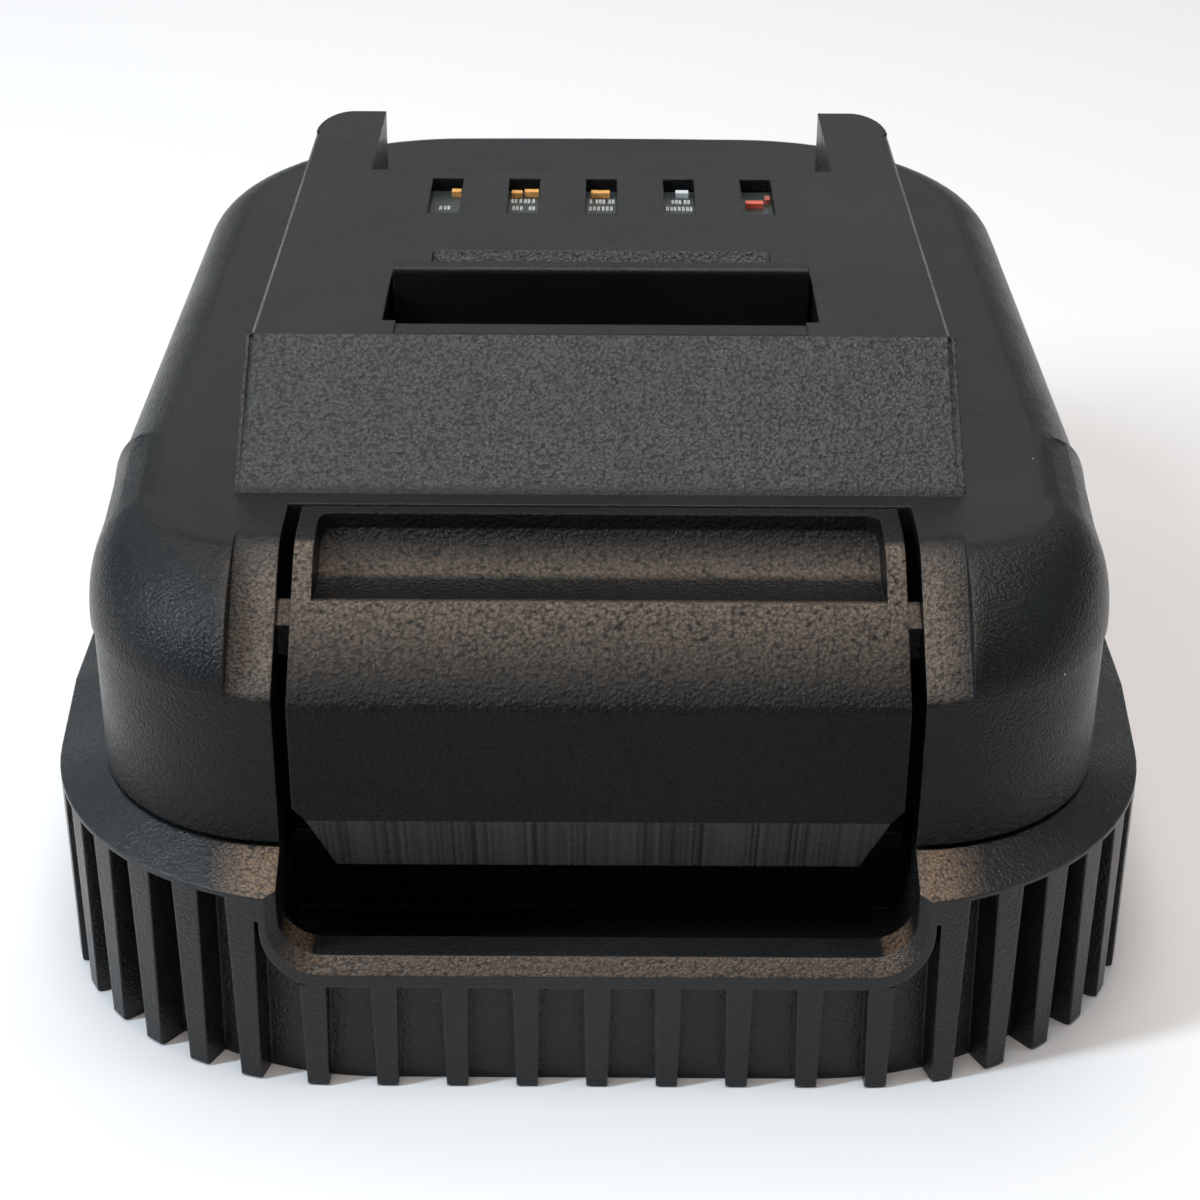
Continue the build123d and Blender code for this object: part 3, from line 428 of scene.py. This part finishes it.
# Painted warm glint, paler brown on the grain's crowns, for the button's sloped crest and the housing's
# pillars.
GLINT_BROWN = (0.155, 0.113, 0.083, 1)
BUTTON_GLINT_PLACE = {
    "front_of": -39.2 * MM, "half_width": 30.0 * MM, "fade": (29.5 * MM, 34.0 * MM),
    "grain_levels": NEAR_ALL_GRAIN}
button_plastic = grained_plastic(
    "button_plastic", BUTTON_BLACK, roughness=0.26, pebbles=0.3, depth=0.09, specular=0.12,
    glint_colour=GLINT_BROWN, glint_place=BUTTON_GLINT_PLACE)


def fed_by(socket):
    """The output that feeds an input now."""
    return socket.links[0].from_socket


def cutter_marks(plastic, top):
    """Upright lines below a height, in uneven bunches, laid under the grain."""
    tree = plastic.tree
    shader = plastic.shader
    columns = shade(tree, "Mapping", {"Vector": plastic.place, "Scale": (1.0, 0.0, 0.0)}).outputs[0]
    noise = shade(tree, "TexNoise", {"Vector": columns, "Scale": 2600.0, "Detail": 3.0})
    lines = stretched(tree, noise.outputs["Fac"], 0.38, 0.6)
    bunches = shade(tree, "TexNoise", {"Vector": columns, "Scale": 260.0, "Detail": 2.0})
    deep = times(tree, lines, stretched(tree, bunches.outputs["Fac"], 0.35, 0.55))
    low = stretched(tree, along_axes(tree, plastic.place)["Z"], top, top - 0.05 * MM)
    marks = shade(tree, "Bump", {
        "Height": times(tree, deep, low), "Distance": 0.05 * MM,
        "Normal": fed_by(plastic.bump.inputs["Normal"])})
    feed(tree, plastic.bump, {
        "Normal": marks.outputs["Normal"],
        "Strength": stretched(tree, low, 0.0, 1.0, 1.0, 0.25),
    })
    bare = scaled(tree, CUT_GREY, stretched(tree, deep, 0.0, 1.0, 1.0, 0.35))
    feed(tree, shader, {"Base Color": mixed(tree, low, fed_by(shader.inputs["Base Color"]), bare)})


cutter_marks(button_plastic, BEVEL_TOP)
dress(["release_button"], button_plastic.material)


# Contact carrier and its clips
# A moulded block holds five sprung brass clips in line with the slots, and hangs from the housing on
# two zinc plated screws.

dress(["contact_carrier"], carrier_plastic)
dress([f"contact_clip_{number}" for number in range(1, 6)], contact_brass)
dress(["carrier_screws"], screw_steel)


# Terminal board
# A thin glass-fibre board under black lacquer carries the clips and wires. Through the windows show
# soldered parts, and short strokes of white print, here plain dashes.

BOARD_BLACK = (0.02, 0.026, 0.024)
board_lacquer, tree, shader, place = new_material("board_lacquer")
weave_x = shade(tree, "TexWave", {"Vector": place, "Scale": 900.0, "Distortion": 1.0}, bands_direction="X")
weave_y = shade(tree, "TexWave", {"Vector": place, "Scale": 900.0, "Distortion": 1.0}, bands_direction="Y")
haze = shade(tree, "TexNoise", {"Vector": place, "Scale": 400.0, "Detail": 3.0})
bump = shade(tree, "Bump", {
    "Height": plus(tree, weave_x.outputs["Fac"], weave_y.outputs["Fac"]), "Distance": 0.01 * MM})
feed(tree, shader, {
    "Base Color": scaled(tree, BOARD_BLACK, stretched(tree, haze.outputs["Fac"], 0.0, 1.0, 0.7, 1.3)),
    "Normal": bump.outputs["Normal"],
    "Roughness": 0.35,
})
dress(["terminal_board"], board_lacquer)


def speckled(name, colour, roughness, spread):
    """Fired, soldered or cast surface with a fine uneven speckle."""
    material, tree, shader, place = new_material(name)
    speckle = shade(tree, "TexNoise", {"Vector": place, "Scale": 3500.0, "Detail": 4.0, "Roughness": 0.8})
    tone = stretched(tree, speckle.outputs["Fac"], 0.3, 0.7, 1 - spread, 1 + spread)
    bump = shade(tree, "Bump", {"Height": speckle.outputs["Fac"], "Distance": 0.015 * MM})
    feed(tree, shader, {
        "Base Color": scaled(tree, colour, tone),
        "Normal": bump.outputs["Normal"],
        "Roughness": roughness,
    })
    return material, tree, shader, place


def within(tree, value, low, high, soft=0.05 * MM):
    """Mask that is 1 where a coordinate lies between two places."""
    above = stretched(tree, value, low - soft, low)
    below = stretched(tree, value, high + soft, high)
    return times(tree, above, below)


TIN_GREY = (0.5, 0.52, 0.52, 1)
TIN_X = (5 * MM, 9 * MM)
CHIP_RED = (0.55, 0.09, 0.05, 1)
RED_X = (11 * MM, 15 * MM)
chip_ceramic, tree, shader, place = speckled("chip_ceramic", (0.62, 0.3, 0.08), 0.4, 0.5)
across = along_axes(tree, place)["X"]
colour = fed_by(shader.inputs["Base Color"])
for other, (start, stop) in ((TIN_GREY, TIN_X), (CHIP_RED, RED_X)):
    colour = mixed(tree, within(tree, across, start, stop), colour, other)
feed(tree, shader, {"Base Color": colour})
dress(["chip_capacitors"], chip_ceramic)

chip_black = speckled("chip_black", (0.02, 0.02, 0.021), 0.5, 0.3)[0]
print_white = speckled("print_white", (0.45, 0.46, 0.44), 0.6, 0.35)[0]
pad_red = speckled("pad_red", (0.3, 0.06, 0.04), 0.4, 0.4)[0]
dress(["power_transistors", "sense_chip"], chip_black)

BOARD_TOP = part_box("terminal_board")[1].z
STEP_Y = 14.4 * MM
WINDOW_PITCH = 6.6 * MM
MIDDLE_WINDOW = 2
MARK_CORNER = 0.12 * MM


def board_marks(name, material, marks, height):
    """Low pads or printed strokes on the board: window number, shift along X, distance from the step,
    length and width, in millimetres."""
    bm = bmesh.new()
    for window, shift, from_step, length, width in marks:
        made = bmesh.ops.create_cube(bm, size=1.0)["verts"]
        across = (window - MIDDLE_WINDOW) * WINDOW_PITCH + shift * MM
        middle = Matrix.Translation((across, STEP_Y - from_step * MM, BOARD_TOP + height / 2))
        size = Matrix.Diagonal((length * MM, width * MM, height, 1))
        bmesh.ops.transform(bm, matrix=middle @ size, verts=made)
    upright = [edge for edge in bm.edges if abs(edge.verts[0].co.z - edge.verts[1].co.z) > height / 2]
    bmesh.ops.bevel(bm, geom=upright, offset=MARK_CORNER, segments=3, profile=0.5, material=-1,
                    affect="EDGES")
    mesh = bpy.data.meshes.new(name)
    bm.to_mesh(mesh)
    bm.free()
    marks_object = bpy.data.objects.new(name, mesh)
    bpy.context.scene.collection.objects.link(marks_object)
    mesh.materials.append(material)
    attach(marks_object, "adapter_body")


STROKE = (0.2, 1.05)
STROKE_HEIGHT = 0.06 * MM
PRINT_ROWS = (
    (0, 6.9, (-0.45, -0.05, 0.25)),
    (1, 5.1, (-1.0, -0.7, -0.3, 0.1, 0.4, 0.8)),
    (1, 6.9, (-0.85, -0.55, -0.2, 0.55, 0.85)),
    (2, 5.1, (-0.9, -0.4, -0.1, 0.2, 0.7, 1.0)),
    (2, 6.9, (-0.95, -0.6, -0.25, 0.15, 0.5, 0.85)),
    (3, 5.1, (-0.5, -0.2, 0.1, 0.55, 0.85)),
    (3, 6.9, (-1.0, -0.65, -0.35, 0.0, 0.35, 0.7, 1.0)),
)
RESISTOR = (4, 0.95, 4.9, 0.45, 1.1)
RESISTOR_HEIGHT = 0.4 * MM
board_marks("window_print", print_white, [
    (window, shift, from_step, *STROKE)
    for window, from_step, shifts in PRINT_ROWS for shift in shifts], STROKE_HEIGHT)
board_marks("window_resistor", pad_red, [RESISTOR], RESISTOR_HEIGHT)


# Upper housing
# The top moulding: domed shoulders, a grained lead-in ramp, and a rail block with windows and prongs.
# The rail faces are nearly smooth, so that the tool slides, and the ramp gets a painted highlight on the
# crowns of its grain. Four zinc plated screws hold it to the base.

HOUSING_BLACK = (0.006, 0.0061, 0.0062)
DECK_TOP = 36.8 * MM
RAIL_TOP = 44.6 * MM
# Painted warm glint on the sloped pillars beside the button.
PILLARS_GLINT_PLACE = {
    "front_of": -42.5 * MM, "half_width": 24.5 * MM, "fade": (28.0 * MM, 31.0 * MM),
    "grain_levels": NEAR_ALL_GRAIN}
housing_plastic = grained_plastic(
    "housing_plastic", HOUSING_BLACK, roughness=0.26, pebbles=0.26, depth=0.06, specular=0.19,
    glint_colour=GLINT_BROWN, glint_place=PILLARS_GLINT_PLACE)
tree = housing_plastic.tree
shader = housing_plastic.shader
level = stretched(tree, facing(tree)["Z"], 0.9, 0.99)
height = along_axes(tree, housing_plastic.place)["Z"]
calm = times(tree, level, within(tree, height, DECK_TOP - 0.1 * MM, RAIL_TOP + MM))
feed(tree, housing_plastic.bump, {"Strength": stretched(tree, calm, 0.0, 1.0, 1.0, 0.35)})

# Painted highlight: the ramp and the strip behind the latch turn paler grey on their slopes and grain
# crowns.
RAMP_GLINT_GREY = (0.066, 0.065, 0.064, 1)
RAMP_AND_STRIP = {
    "front_of": -4.5 * MM, "half_width": 27.0 * MM, "fade": (DECK_TOP + 0.1 * MM, DECK_TOP + 0.5 * MM),
    "grain_levels": (-0.3, 0.35)}
ramp_glint = painted_glint_mask(tree, housing_plastic.place, housing_plastic.height, **RAMP_AND_STRIP)
feed(tree, shader, {
    "Base Color": mixed(tree, ramp_glint, fed_by(shader.inputs["Base Color"]), RAMP_GLINT_GREY)})
dress(["upper_housing"], housing_plastic.material)
dress(["housing_screws"], screw_steel)


# Floor
# A matt pale table under the adapter, staged for the picture. It runs past the camera's view on
# every side.

FLOOR_HALF_WIDTH = 3.0
FLOOR_PALE = (0.66, 0.635, 0.625, 1)
floor_mesh = bpy.data.meshes.new("floor")
bm = bmesh.new()
bmesh.ops.create_grid(bm, x_segments=1, y_segments=1, size=FLOOR_HALF_WIDTH)
bm.to_mesh(floor_mesh)
bm.free()
floor = bpy.data.objects.new("floor", floor_mesh)
bpy.context.scene.collection.objects.link(floor)
floor_paint, tree, shader, _ = new_material("floor_paint")
feed(tree, shader, {"Base Color": FLOOR_PALE, "Roughness": 1.0, "Specular IOR Level": 0.0})
floor_mesh.materials.append(floor_paint)


# Light
# Soft boxes: a slightly warm one overhead, a wide neutral one behind, and cool ones at the sides. A
# dim bluish sky fills the shadows.

def soft_box(name, place, towards, width, height, power, colour):
    """Rectangular lamp that faces a point."""
    lamp = bpy.data.lights.new(name, "AREA")
    lamp.shape = "RECTANGLE"
    lamp.size = width
    lamp.size_y = height
    lamp.energy = power
    lamp.color = colour
    holder = bpy.data.objects.new(name, lamp)
    bpy.context.scene.collection.objects.link(holder)
    holder.location = place
    holder.rotation_euler = (Vector(towards) - Vector(place)).to_track_quat("-Z", "Y").to_euler()


WARM = (1.0, 0.95, 0.91)
COOL = (0.72, 0.88, 1.0)
NEUTRAL = (1.0, 1.0, 1.0)
soft_box("overhead", (0, -0.02, 0.72), (0, -0.03, 0), 0.36, 0.8, 5.4, WARM)
soft_box("behind", (0, 1.0, 0.62), (0, 0, 0.03), 1.6, 0.5, 1.5, NEUTRAL)
soft_box("left", (-0.57, -0.24, 0.5), (0, -0.03, 0.03), 0.07, 0.5, 6.4, COOL)
soft_box("right", (0.6, -0.1, 0.46), (0, -0.03, 0.03), 0.14, 0.5, 0.7, COOL)
soft_box("left_rear", (-0.55, 0.42, 0.52), (0, -0.03, 0.02), 0.3, 0.3, 0.8, COOL)

SKY = (0.86, 0.95, 1, 1)
SKY_STRENGTH = 0.19
world = bpy.data.worlds.new("world")
bpy.context.scene.world = world
world.use_nodes = True
sky = world.node_tree.nodes["Background"]
sky.inputs["Color"].default_value = SKY
sky.inputs["Strength"].default_value = SKY_STRENGTH


# Camera
# Where the photograph was taken from: in front of the adapter and above it, looking down at the
# crest of the button.

CAMERA_TILT = 28.2
CAMERA_ROLL = 0.3
CAMERA_PLACE = (0.05 * MM, -196.6 * MM, 115.3 * MM)
camera_data = bpy.data.cameras.new("camera")
camera_data.lens = 75.57
camera_data.sensor_width = 36.0
camera_data.clip_start = 0.01
camera = bpy.data.objects.new("camera", camera_data)
bpy.context.scene.collection.objects.link(camera)
camera.location = CAMERA_PLACE
tilt = Matrix.Rotation(math.radians(90 - CAMERA_TILT), 4, "X")
roll = Matrix.Rotation(math.radians(CAMERA_ROLL), 4, "Z")
camera.rotation_euler = (tilt @ roll).to_euler()
bpy.context.scene.camera = camera
bpy.context.scene.view_settings.view_transform = "Standard"
